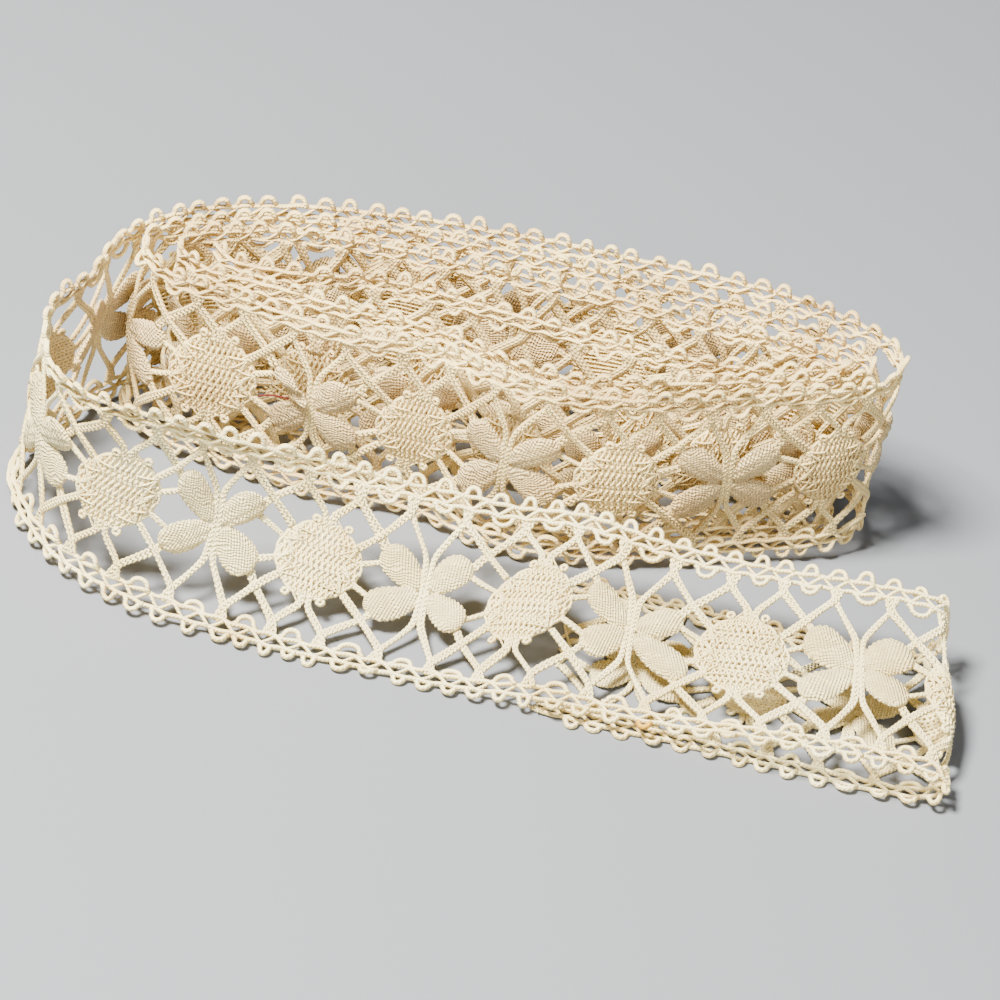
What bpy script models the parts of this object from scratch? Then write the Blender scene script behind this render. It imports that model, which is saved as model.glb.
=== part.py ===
"""Roll of cotton bobbin-lace trim, standing on its edge, with its loose end drawn out in front.

The tape is one long band. It is wound three times round an open, flattened loop, leaves the roll at
the left, turns back on itself and lies along the front, leaning towards the roll. At the right it
is folded under, so that its cut end lies flat on the surface beneath it.

Frame: metres, +X right along the roll, +Y away from the front, +Z up, standing on z = 0.
"""

import bpy
import numpy as np
from mathutils import Vector
from mathutils.geometry import delaunay_2d_cdt

MM = 0.001

# Driving sizes of the lace, in millimetres
TAPE_WIDTH = 50.0
TAPE_THICKNESS = 1.5
REPEAT = 45.5
PICOTS_PER_REPEAT = 8
PICOT_HEIGHT = 1.7
NODE_GAP = 0.3

# Drawing steps
ROWS_PER_SPAN = 24
TURN_STEP = 0.45
LONGEST_STEP = 6.5
SHORTEST_STEP = 1.6
INNER_ROW_SPACING = 6.0

# One turn of the roll, counter-clockwise from its left end. Each row gives where the first (inner)
# and the third (outer) pass of the tape stand, how far the outer one rides up off the surface, and
# the middle pass's share of the way from inner to outer.
# columns: inner x, inner y, outer x, outer y, outer lift, middle share
TURN_ROWS = [
    (-65.0, 22.0, -79.5, 19.0, 0.0, 0.5),    # left end
    (-61.0, 17.8, -73.0, 9.0, 0.0, 0.5),
    (-46.0, 17.6, -54.0, 4.6, 0.0, 0.5),     # front
    (-31.0, 21.8, -33.0, 1.0, 0.0, 0.6),
    (-15.0, 21.6, -13.0, 2.2, 0.0, 0.68),   # where the front layers bow inwards
    (5.0, 19.2, 4.0, -3.0, 0.0, 0.75),
    (20.0, 18.0, 22.0, -2.4, 0.0, 0.75),
    (37.0, 17.4, 41.0, 3.6, 0.0, 0.6),
    (55.0, 19.6, 60.0, 12.0, 0.5, 0.42),
    (65.5, 23.4, 74.5, 18.0, 1.2, 0.42),
    (70.0, 25.0, 81.4, 22.6, 2.0, 0.45),
    (71.6, 27.4, 83.7, 28.4, 2.5, 0.5),      # right end
    (69.8, 29.6, 81.8, 34.4, 2.5, 0.5),
    (63.0, 30.6, 75.0, 39.8, 2.0, 0.5),
    (46.0, 31.8, 57.0, 46.2, 1.2, 0.55),    # back
    (17.0, 33.6, 27.0, 48.4, 0.5, 0.55),
    (-14.0, 34.0, -12.0, 47.8, 0.0, 0.55),
    (-40.0, 33.4, -47.0, 42.4, 0.0, 0.5),
    (-59.0, 29.0, -70.0, 33.0, 0.0, 0.5),
]
PASSES = 3
LEAVING_SHARE = 1.33    # how far out the tape stands as it leaves the roll, on the same scale

# The tables' own place for the middle of the whole footprint, which becomes the origin
FOOTPRINT_CENTRE = (5.5, -3.5)

# The loose end, from the roll's left end to the cut. Each row is one section across the tape: where
# its near edge stands, which way and how steeply the tape rises from there, and how deep it sags
# below the straight line between its edges.
# columns: x, y, foot height, heading (degrees), lean (degrees), sag
LOOSE_ROWS = [
    (-90.0, 4.0, 0.0, -20.0, 86.5, 0.0),
    (-96.0, -7.0, 0.0, -10.0, 85.5, 0.0),
    (-97.8, -14.0, 0.0, 0.0, 85.0, 1.0),
    (-95.3, -22.5, 0.0, 25.0, 87.0, 2.0),    # turns back
    (-89.5, -31.8, 0.0, 45.0, 89.5, 3.0),
    (-80.7, -40.6, 0.0, 55.0, 87.0, 3.8),
    (-70.0, -46.6, 0.0, 68.0, 79.0, 5.6),
    (-56.6, -51.0, 0.0, 80.0, 67.0, 9.0),    # leans over
    (-42.0, -52.7, 0.0, 85.0, 53.0, 9.4),
    (-27.0, -53.2, 0.0, 86.0, 38.0, 7.6),
    (4.0, -53.2, 0.0, 87.0, 27.5, 4.2),
    (21.0, -53.4, 2.0, 87.0, 25.5, 2.6),     # rises over its own folded-back end
    (38.0, -53.8, 2.9, 87.0, 22.5, 4.8),
    (53.0, -54.8, 4.6, 88.0, 18.0, 4.2),
    (66.0, -55.8, 6.8, 89.0, 15.2, 3.2),
    (84.0, -56.0, 8.0, 90.0, 15.0, 2.8),
    (98.0, -56.0, 8.2, 92.0, 15.0, 1.8),
    (106.0, -56.0, 7.2, 94.0, 13.0, 0.6),
    (108.8, -56.0, 4.2, 96.0, 7.5, 0.0),     # fold
    (105.0, -56.2, 1.2, 94.0, 3.0, 0.0),
    (96.0, -56.2, 0.2, 92.0, 0.8, 0.0),
    (84.0, -55.8, 0.0, 90.0, 0.0, 0.0),      # lower layer, flat on the surface
    (55.0, -54.8, 0.0, 90.0, 0.0, 0.0),
    (24.0, -54.3, 0.0, 90.0, 0.0, 0.0),      # cut end
]

# Where flowers sit: three along the front, and the four that lie uncovered on the loose end
FRONT_FLOWERS_X = (-37.4, 5.5, 52.3)
LOOSE_FLOWERS_X = (-50.4, -6.1, 38.6, 86.4)

# Gaps between the plaits, in millimetres from a flower's centre: along the tape, across the tape.
# Each gap is repeated by its mirrors: "u" along the tape, "v" across it.
FOOT_LINE = 18.2
GAPS = {
    "over the stem": ("v", [(0.0, 10.8), (4.2, 16.9), (3.2, FOOT_LINE), (-3.2, FOOT_LINE), (-4.2, 16.9)]),
    "beside the stem": ("uv", [(1.0, 4.4), (2.0, 5.0), (3.5, 7.5), (6.0, 8.9), (9.3, 9.3),
                               (10.1, 11.3), (6.0, 16.2), (1.0, 8.3)]),
    "at the foot": ("uv", [(11.3, 13.0), (15.2, 17.4), (14.2, FOOT_LINE), (8.3, FOOT_LINE), (7.3, 17.4)]),
    "beside the spot": ("uv", [(12.4, 11.4), (16.9, 8.4), (18.6, 9.7), (20.6, 11.2), (16.8, 16.4)]),
    "over the spot": ("v", [(22.75, 12.0), (26.8, 17.3), (25.8, FOOT_LINE), (19.7, FOOT_LINE), (18.7, 17.3)]),
    "between petals and spot": ("u", [(2.8, 0.0), (5.0, -1.1), (7.9, -2.2), (9.8, -4.5), (10.9, -6.4),
                                      (14.6, -2.9), (15.1, 0.0), (14.6, 2.9), (10.9, 6.4), (9.8, 4.5),
                                      (7.9, 2.2), (5.0, 1.1)]),
}


def clear_scene():
    for obj in list(bpy.data.objects):
        bpy.data.objects.remove(obj, do_unlink=True)


def cotton(name, colour):
    material = bpy.data.materials.new(name)
    material.use_nodes = True
    shader = material.node_tree.nodes["Principled BSDF"]
    shader.inputs["Base Color"].default_value = (*colour, 1.0)
    shader.inputs["Roughness"].default_value = 0.85
    shader.inputs["Metallic"].default_value = 0.0
    return material


def tape_rows():
    """All sections of the tape in order: three passes round the roll, then the loose end."""
    turn = np.array(TURN_ROWS)
    inner, outer, lift, middle_share = turn[:, 0:2], turn[:, 2:4], turn[:, 4], turn[:, 5]
    rows = []
    for step in range(PASSES * len(turn) + 1):
        lap, row = divmod(step, len(turn))
        share = (0.0, middle_share[row], 1.0, LEAVING_SHARE)[lap]
        x, y = inner[row] + (outer[row] - inner[row]) * share
        rows.append((x, y, lift[row] * min(share, 1.0) ** 3, 0.0, 90.0, 0.0))
    return np.array(rows + LOOSE_ROWS), PASSES * len(turn)


def smooth(rows):
    """Centripetal Catmull-Rom curve through the rows, every column alike."""
    knots = np.concatenate([[0.0], np.cumsum(np.linalg.norm(np.diff(rows[:, :3], axis=0), axis=1) ** 0.5)])
    slope = np.gradient(rows, knots, axis=0)
    t = np.linspace(0.0, 1.0, ROWS_PER_SPAN, endpoint=False)[:, None]
    spans = []
    for i in range(len(rows) - 1):
        width = knots[i + 1] - knots[i]
        spans.append((2 * t**3 - 3 * t**2 + 1) * rows[i] + (t**3 - 2 * t**2 + t) * width * slope[i]
                     + (3 * t**2 - 2 * t**3) * rows[i + 1] + (t**3 - t**2) * width * slope[i + 1])
    return np.vstack(spans + [rows[-1:]])


class Tape:
    """The tape's middle surface: a point for each length along it and place across it."""

    def __init__(self):
        rows, leaves = tape_rows()
        self.dense = smooth(rows)
        middle = self.section(self.dense, np.zeros(len(self.dense)))
        self.along = np.concatenate([[0.0], np.cumsum(np.linalg.norm(np.diff(middle, axis=0), axis=1))])
        self.leaves = self.along[leaves * ROWS_PER_SPAN]
        self.outer_turn = self.along[(leaves - len(TURN_ROWS)) * ROWS_PER_SPAN]
        self.length = self.along[-1]
        heading = np.gradient(middle, self.along, axis=0)
        heading /= np.linalg.norm(heading, axis=1)[:, None]
        self.bend = np.linalg.norm(np.gradient(heading, self.along, axis=0), axis=1)
        self.middle = middle

    def section(self, rows, across):
        """Points on the sections in rows: up the chord, and below it by a parabola of the sag.

        A parabola of sag s over a chord c is c + 8 s^2 / 3 c long, which gives the chord.
        """
        x, y, foot, heading, lean, sag = rows.T
        chord = TAPE_WIDTH - 8.0 * sag**2 / (3.0 * TAPE_WIDTH)
        heading, lean = np.radians(heading), np.radians(lean)
        foot, lean = np.maximum(foot, 0.0), np.maximum(lean, 0.0)
        flat, rise = np.cos(lean), np.sin(lean)
        up = np.stack([flat * np.cos(heading), flat * np.sin(heading), rise], axis=1)
        out = np.stack([-rise * np.cos(heading), -rise * np.sin(heading), flat], axis=1)
        edge_lean = lean - np.arctan(4.0 * sag / chord)
        near = np.stack([x, y, foot + TAPE_THICKNESS / 2.0 * np.abs(np.cos(edge_lean))], axis=1)
        share = across / TAPE_WIDTH + 0.5
        return near + up * (chord * share)[:, None] - out * (sag * 4.0 * share * (1.0 - share))[:, None]

    def point(self, along, across):
        rows = np.stack([np.interp(along, self.along, column) for column in self.dense.T], axis=1)
        return self.section(rows, across)

    def point_and_normal(self, along, across):
        small = 0.05
        forward = self.point(along + small, across) - self.point(along - small, across)
        sideways = self.point(along, across + small) - self.point(along, across - small)
        normal = np.cross(forward, sideways)
        return self.point(along, across), normal / np.linalg.norm(normal, axis=1)[:, None]

    def where_x(self, x, start, end):
        """Length along the tape, between start and end, at which its middle passes x."""
        inside = np.flatnonzero((self.along >= start) & (self.along <= end))
        return self.along[inside[np.argmin(np.abs(self.middle[inside, 0] - x))]]

    def step(self, along):
        """Longest edge that still follows the bend of the tape there."""
        bend = np.interp(along, self.along, self.bend)
        return np.clip(TURN_STEP / np.maximum(bend, 1e-6), SHORTEST_STEP, LONGEST_STEP)


def flower_places(tape):
    """Lengths along the tape at which flowers sit: as on the front, and as on the loose end."""
    front = [tape.where_x(x, tape.outer_turn, tape.outer_turn + 160.0) for x in FRONT_FLOWERS_X]
    loose = [tape.where_x(x, tape.leaves + 60.0, tape.length - 100.0) for x in LOOSE_FLOWERS_X]
    between = round((loose[0] - front[-1]) / REPEAT)
    first_loose = len(front) - 1 + between
    known_number = [*range(len(front)), *range(first_loose, first_loose + len(loose))]
    inner = np.interp(np.arange(known_number[-1] + 1), known_number, front + loose)
    before = front[0] - REPEAT * np.arange(30, 0, -1)
    after = loose[-1] + REPEAT * np.arange(1, 5)
    return np.concatenate([before, inner, after])


def stretched(places, number, offset):
    """Length along the tape at an offset, in pattern millimetres, from a flower."""
    share = np.abs(offset) / REPEAT
    side = places[number + np.where(offset < 0.0, -1, 1)]
    return places[number] + (side - places[number]) * share


def gap_outlines(places, start, end):
    """Outlines of all gaps that lie wholly between start and end."""
    outlines = []
    for number in range(1, len(places) - 1):
        for mirrors, corners in GAPS.values():
            for u_sign in (1, -1) if "u" in mirrors else (1,):
                for v_sign in (1, -1) if "v" in mirrors else (1,):
                    corner = np.array(corners) * (u_sign, v_sign)
                    corner[:, 0] = stretched(places, number, corner[:, 0])
                    if corner[:, 0].min() > start + 1.2 and corner[:, 0].max() < end - 1.2:
                        outlines.append(corner if u_sign * v_sign > 0 else corner[::-1])
    return outlines


def edge_points(tape, places, start, end, open_from):
    """One long edge of the tape, at positive across: plain inside the roll, picots further out."""
    points = []
    place = start
    while place < open_from:
        points.append((place, TAPE_WIDTH / 2.0))
        place += float(tape.step(place)) * 1.4
    flowers = np.arange(len(places))
    tooth = 1.0 / PICOTS_PER_REPEAT
    shape = ((0.0, TAPE_WIDTH / 2.0 - PICOT_HEIGHT), (0.34, TAPE_WIDTH / 2.0), (0.68, TAPE_WIDTH / 2.0))
    number = np.interp(max(start, open_from), places, flowers)
    for picot in np.arange(np.floor(number / tooth), (len(places) - 1) / tooth):
        for share, across in shape:
            place = float(np.interp((picot + share) * tooth, flowers, places))
            if max(start + 0.6, open_from + 0.6) < place < end - 0.6:
                points.append((place, across))
    level = TAPE_WIDTH / 2.0
    return [(start, level)] + [p for p in points if p[0] > start + 0.6] + [(end, level)]


def split_long(tape, loop):
    """The same closed outline with points added where its edges would cut across a bend."""
    points = []
    for here, there in zip(loop, np.roll(loop, -1, axis=0)):
        pieces = int(np.ceil(abs(there[0] - here[0]) / tape.step((here[0] + there[0]) / 2.0) - 0.2))
        pieces = max(1, pieces)
        points.extend(here + (there - here) * k / pieces for k in range(pieces))
    return np.array(points)


def inside_loop(points, loop):
    """Which points lie in a closed loop, by counting crossings."""
    inside = np.zeros(len(points), dtype=bool)
    for (x0, y0), (x1, y1) in zip(loop, np.roll(loop, -1, axis=0)):
        if y0 == y1:
            continue
        crosses = (points[:, 1] < y0) != (points[:, 1] < y1)
        inside ^= crosses & (points[:, 0] < x0 + (points[:, 1] - y0) / (y1 - y0) * (x1 - x0))
    return inside


def filling_points(tape, loops, start, end):
    """Points inside the woven areas, so that petals, spots and edges follow the bends."""
    points = []
    place = start
    while place < end:
        place += float(tape.step(place))
        points.extend((place, v) for v in np.arange(-3, 4) * INNER_ROW_SPACING)
    points = np.array(points)
    keep = (points[:, 0] > start + 1.0) & (points[:, 0] < end - 1.0)
    for loop in loops:
        low, high = loop.min(axis=0) - 1.2, loop.max(axis=0) + 1.2
        close = np.flatnonzero(((points > low) & (points < high)).all(axis=1))
        if not len(close):
            continue
        following = np.roll(loop, -1, axis=0) - loop
        offset = points[close, None, :] - loop[None, :, :]
        share = np.clip((offset * following).sum(2) / (following**2).sum(1), 0.0, 1.0)
        distance = np.linalg.norm(offset - share[..., None] * following, axis=2).min(axis=1)
        keep[close[inside_loop(points[close], loop) | (distance < 1.2)]] = False
    return points[keep]


def band_mesh(name, tape, places, start, end, open_from, material):
    """A closed band between two lengths along the tape, with its gaps cut through."""
    top = np.array(edge_points(tape, places, start, end, open_from))
    outline = np.vstack([top * (1, -1), top[::-1]])
    gaps = [split_long(tape, gap) for gap in gap_outlines(places, max(start, open_from), end)]
    loops = [outline] + gaps
    points = [loop for loop in loops]
    if open_from < end:
        points.append(filling_points(tape, gaps, max(start, open_from), end))
    points = np.vstack(points)
    plain = np.flatnonzero(top[:, 0] <= open_from)
    edges, first = [(int(k), 2 * len(top) - 1 - int(k)) for k in plain[1:]], 0
    for loop in loops:
        count = len(loop)
        edges.extend((first + k, first + (k + 1) % count) for k in range(count))
        first += count
    flat, _, faces, _, _, _ = delaunay_2d_cdt([Vector(p) for p in points], edges, [], 1, 1e-5)
    flat = np.array(flat)
    faces = np.array(faces)
    centre = flat[faces].mean(axis=1)
    keep = inside_loop(centre, outline)
    for gap in gaps:
        near = np.flatnonzero((np.abs(centre - gap.mean(axis=0)) < TAPE_WIDTH / 2.0).all(axis=1))
        keep[near[inside_loop(centre[near], gap)]] = False
    faces = faces[keep]
    used = np.unique(faces)
    faces = np.searchsorted(used, faces)
    middle, normal = tape.point_and_normal(*flat[used].T)
    half = normal * TAPE_THICKNESS / 2.0
    count = len(used)
    sides = np.concatenate([faces[:, [0, 1]], faces[:, [1, 2]], faces[:, [2, 0]]])
    code = sides[:, 0] * count + sides[:, 1]
    rim = sides[~np.isin(code, sides[:, 1] * count + sides[:, 0])]
    a, b = rim.T
    walls = np.vstack([np.stack([b, a, a + count], axis=1), np.stack([b, a + count, b + count], axis=1)])
    triangles = np.vstack([faces, faces[:, ::-1] + count, walls])
    mesh = bpy.data.meshes.new(name)
    solid = np.vstack([middle + half, middle - half]) - (*FOOTPRINT_CENTRE, 0.0)
    mesh.from_pydata(solid * MM, [], triangles.tolist())
    mesh.validate()
    mesh.materials.append(material)
    obj = bpy.data.objects.new(name, mesh)
    bpy.context.scene.collection.objects.link(obj)
    return len(gaps)


def build():
    clear_scene()
    tape = Tape()
    places = flower_places(tape)
    wound = cotton("bleached_cotton_lace_wound", (0.78, 0.66, 0.47))
    drawn_out = cotton("bleached_cotton_lace", (0.88, 0.82, 0.68))
    gaps = band_mesh("roll", tape, places, 0.0, tape.leaves - NODE_GAP / 2.0, tape.outer_turn, wound)
    gaps += band_mesh("loose_end", tape, places, tape.leaves + NODE_GAP / 2.0, tape.length,
                      tape.leaves, drawn_out)
    print("tape length", round(tape.length, 1), "mm; gaps cut through:", gaps)


build()
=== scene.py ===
"""Roll of cotton bobbin-lace trim, standing on its edge, with its loose end folded under in front.

Every thread is a ring-by-ring surface worked out on the flat pattern of the lace and then laid on
the course that the tape takes through the roll.
"""

import bpy
import numpy as np
from mathutils import Matrix, Vector


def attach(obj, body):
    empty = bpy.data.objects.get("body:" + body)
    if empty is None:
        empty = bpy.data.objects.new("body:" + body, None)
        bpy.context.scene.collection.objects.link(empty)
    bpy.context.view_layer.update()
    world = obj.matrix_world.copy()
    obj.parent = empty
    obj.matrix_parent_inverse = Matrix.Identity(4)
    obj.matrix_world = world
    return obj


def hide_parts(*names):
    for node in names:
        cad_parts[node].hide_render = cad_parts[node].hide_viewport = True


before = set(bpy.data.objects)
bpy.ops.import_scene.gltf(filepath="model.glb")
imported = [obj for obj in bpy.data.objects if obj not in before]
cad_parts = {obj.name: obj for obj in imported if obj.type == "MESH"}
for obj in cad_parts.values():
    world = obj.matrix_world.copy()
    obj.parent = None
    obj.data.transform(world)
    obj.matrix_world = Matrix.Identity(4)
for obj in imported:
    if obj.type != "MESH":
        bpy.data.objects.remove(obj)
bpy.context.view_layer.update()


# THE COURSE OF THE TAPE
# One 50 mm wide tape is wound three times round an open loop, leaves it at the left, turns back on
# itself and leans along the front of the roll, with its cut end folded under at the right.

MM = 0.001
TAPE_WIDTH = 50.0
TAPE_THICKNESS = 1.5
FOOTPRINT_CENTRE = (5.5, -3.5, 0.0)
PASSES = 3
LEAVING_SHARE = 1.33     # where the tape leaves the roll, as a share of the way outwards
CURVE_STEPS = 24         # places on the curve from one row to the next

# one turn, counter-clockwise from the left end
# columns: inner x, inner y, outer x, outer y, outer lift, middle pass's share of the way outwards
TURN_ROWS = np.array([
    (-65.0, 22.0, -79.5, 19.0, 0.0, 0.5),
    (-61.0, 17.8, -73.0, 9.0, 0.0, 0.5),
    (-46.0, 17.6, -54.0, 4.6, 0.0, 0.5),
    (-31.0, 21.8, -33.0, 1.0, 0.0, 0.6),
    (-15.0, 21.6, -13.0, 2.2, 0.0, 0.68),
    (5.0, 19.2, 4.0, -3.0, 0.0, 0.75),
    (20.0, 18.0, 22.0, -2.4, 0.0, 0.75),
    (37.0, 17.4, 41.0, 3.6, 0.0, 0.6),
    (55.0, 19.6, 60.0, 12.0, 0.5, 0.42),
    (65.5, 23.4, 74.5, 18.0, 1.2, 0.42),
    (70.0, 25.0, 81.4, 22.6, 2.0, 0.45),
    (71.6, 27.4, 83.7, 28.4, 2.5, 0.5),
    (69.8, 29.6, 81.8, 34.4, 2.5, 0.5),
    (63.0, 30.6, 75.0, 39.8, 2.0, 0.5),
    (46.0, 31.8, 57.0, 46.2, 1.2, 0.55),
    (17.0, 33.6, 27.0, 48.4, 0.5, 0.55),
    (-14.0, 34.0, -12.0, 47.8, 0.0, 0.55),
    (-40.0, 33.4, -47.0, 42.4, 0.0, 0.5),
    (-59.0, 29.0, -70.0, 33.0, 0.0, 0.5),
])

# the loose end, from the roll to the cut
# columns: x, y, foot height, heading, lean, sag below the straight line between the edges
LOOSE_ROWS = np.array([
    (-90.0, 4.0, 0.0, -20.0, 86.5, 0.0),
    (-96.0, -7.0, 0.0, -10.0, 85.5, 0.0),
    (-97.8, -14.0, 0.0, 0.0, 85.0, 1.0),
    (-95.3, -22.5, 0.0, 25.0, 87.0, 2.0),
    (-89.5, -31.8, 0.0, 45.0, 89.5, 3.0),
    (-80.7, -40.6, 0.0, 55.0, 87.0, 3.8),
    (-70.0, -46.6, 0.0, 68.0, 79.0, 5.6),
    (-56.6, -51.0, 0.0, 80.0, 67.0, 9.0),
    (-42.0, -52.7, 0.0, 85.0, 53.0, 9.4),
    (-27.0, -53.2, 0.0, 86.0, 38.0, 7.6),
    (4.0, -53.2, 0.0, 87.0, 27.5, 4.2),
    (21.0, -53.4, 2.0, 87.0, 25.5, 2.6),
    (38.0, -53.8, 2.9, 87.0, 22.5, 4.8),
    (53.0, -54.8, 4.6, 88.0, 18.0, 4.2),
    (66.0, -55.8, 6.8, 89.0, 15.2, 3.2),
    (84.0, -56.0, 8.0, 90.0, 15.0, 2.8),
    (98.0, -56.0, 8.2, 92.0, 15.0, 1.8),
    (106.0, -56.0, 7.2, 94.0, 13.0, 0.6),
    (108.8, -56.0, 4.2, 96.0, 7.5, 0.0),
    (105.0, -56.2, 1.2, 94.0, 3.0, 0.0),
    (96.0, -56.2, 0.2, 92.0, 0.8, 0.0),
    (84.0, -55.8, 0.0, 90.0, 0.0, 0.0),
    (55.0, -54.8, 0.0, 90.0, 0.0, 0.0),
    (24.0, -54.3, 0.0, 90.0, 0.0, 0.0),
])


def tape_rows():
    """Sections of the tape in order: each pass a share of the way from inner to outer, then the end."""
    rows = []
    for share in (0.0, TURN_ROWS[:, 5:6], 1.0, LEAVING_SHARE):
        places = TURN_ROWS[:, 0:2] * (1.0 - share) + TURN_ROWS[:, 2:4] * share
        lift = TURN_ROWS[:, 4:5] * np.minimum(share, 1.0) ** 3
        upright = np.tile((0.0, 90.0, 0.0), (len(places), 1))
        rows.append(np.hstack([places, lift, upright]))
    rows[PASSES] = rows[PASSES][:1]
    return np.vstack(rows + [LOOSE_ROWS])


def smoothed(rows, steps=CURVE_STEPS):
    """Cubic Hermite curve through the rows, with knots at the square root of their distance."""
    apart = np.linalg.norm(np.diff(rows[:, :3], axis=0), axis=1)
    knots = np.concatenate([[0.0], np.cumsum(apart ** 0.5)])
    slope = np.gradient(rows, knots, axis=0)
    t = np.linspace(0.0, 1.0, steps, endpoint=False)[None, :, None]
    width = np.diff(knots)[:, None, None]
    here, there = rows[:-1, None], rows[1:, None]
    curve = ((2 * t**3 - 3 * t**2 + 1) * here + (t**3 - 2 * t**2 + t) * width * slope[:-1, None]
             + (3 * t**2 - 2 * t**3) * there + (t**3 - t**2) * width * slope[1:, None])
    return np.vstack([curve.reshape(-1, rows.shape[1]), rows[-1:]])


def section(rows, across):
    """Point on each section: up its chord from the near edge, and below it by a parabola of its sag.

    A parabola of sag s over a chord c is c + 8 s^2 / 3 c long, which gives the chord.
    """
    x, y, foot, heading, lean, sag = rows
    chord = TAPE_WIDTH - 8.0 * sag**2 / (3.0 * TAPE_WIDTH)
    heading, lean = np.radians(heading), np.radians(np.maximum(lean, 0.0))
    flat, rise = np.cos(lean), np.sin(lean)
    edge_lean = lean - np.arctan(4.0 * sag / chord)
    share = across / TAPE_WIDTH + 0.5
    up, out = chord * share, -sag * 4.0 * share * (1.0 - share)
    level = flat * up - rise * out
    height = np.maximum(foot, 0.0) + TAPE_THICKNESS / 2.0 * np.abs(np.cos(edge_lean))
    return np.stack([x + level * np.cos(heading), y + level * np.sin(heading),
                     height + rise * up + flat * out], axis=-1)


course = smoothed(tape_rows())
middle = section(course.T, np.zeros(len(course)))
along_course = np.concatenate([[0.0], np.cumsum(np.linalg.norm(np.diff(middle, axis=0), axis=1))])
tape_length = along_course[-1]
rows_per_turn = CURVE_STEPS * len(TURN_ROWS)
outer_turn_starts = along_course[rows_per_turn * (PASSES - 1)]
loose_end_starts = along_course[rows_per_turn * PASSES]


def on_course(along, across):
    """Points of the tape's middle layer at lengths along it and places across it."""
    rows = np.stack([np.interp(along, along_course, column) for column in course.T])
    return section(rows, across)


def laid(along, across, out):
    """Points, and the outward normals, of pattern places laid on the course of the tape."""
    step = 0.05
    along = np.clip(along, 2.0 * step, tape_length - 2.0 * step)
    point = on_course(along, across)
    forward = on_course(along + step, across) - on_course(along - step, across)
    sideways = on_course(along, across + step) - on_course(along, across - step)
    normal = np.cross(forward, sideways)
    normal /= np.linalg.norm(normal, axis=-1, keepdims=True)
    return point + normal * out[..., None], normal


# THE PATTERN
# The lace repeats every 45.5 mm: a flower of four woven petals, then an oval half-stitch spot, in a
# ground of plaits. Distances in the pattern are in millimetres from a flower's centre.

REPEAT = 45.5
FRONT_FLOWERS_X = (-37.4, 5.5, 52.3)             # on the front of the roll, as the course's x
LOOSE_FLOWERS_X = (-50.4, -6.1, 38.6, 86.4)      # on the loose end
SPOT_AT = REPEAT / 2.0
PICOTS_PER_REPEAT = 8
hand = np.random.default_rng(7)


def where_x(x, start, end):
    """Length along the tape, between start and end, at which its middle passes x."""
    inside = np.flatnonzero((along_course >= start) & (along_course <= end))
    return along_course[inside[np.argmin(np.abs(middle[inside, 0] - x))]]


front_flowers = [where_x(x, outer_turn_starts, outer_turn_starts + 160.0) for x in FRONT_FLOWERS_X]
loose_flowers = [where_x(x, loose_end_starts + 60.0, tape_length - 100.0) for x in LOOSE_FLOWERS_X]
first_loose = 2 + round((loose_flowers[0] - front_flowers[-1]) / REPEAT)
known_numbers = [0, 1, 2, *range(first_loose, first_loose + 4)]
numbers = np.arange(-30, known_numbers[-1] + 5)
flower_places = np.interp(numbers, known_numbers, front_flowers + loose_flowers)
flower_places += np.minimum(numbers, 0) * REPEAT
flower_places += np.maximum(numbers - known_numbers[-1], 0) * REPEAT


def place_of(number, offset):
    """Length along the tape of an offset from a flower, stretched with the repeat there."""
    return np.interp(number + offset / REPEAT, numbers, flower_places)


def lay_pattern(number, offset, across, out):
    """Pattern places laid on the tape, pushed about by slow waves where the hand worked unevenly."""
    place = place_of(number, offset)
    drift = 0.65 * np.sin(place / 7.3 + across / 9.1) + 0.6 * np.sin(place / 17.7 - across / 11.0 + 1.0)
    free = 1.0 - (across / (TAPE_WIDTH / 2.0)) ** 2
    sway = 0.8 * free * np.sin(place / 9.7 + across / 13.0 + 2.0)
    swell = 0.35 * np.sin(place / 8.1 + across / 6.3) + 0.3 * np.sin(place / 13.3 - across / 9.7 + 1.3)
    return laid(place + drift, across + sway, out + swell * (0.35 + 0.65 * free))


# THREADS AS SURFACES
# Everything in the lace is a closed skin of rings: a circle carried along a thread, or the changing
# cross-section of a petal. A bundle gathers many of them into one piece.

ROLL_SHADE_FROM = -12.0    # y in mm, in front of the roll, where threads start to take its painted shade
ROLL_SHADE_OVER = 8.0      # mm further back, where they have all of it


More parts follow.
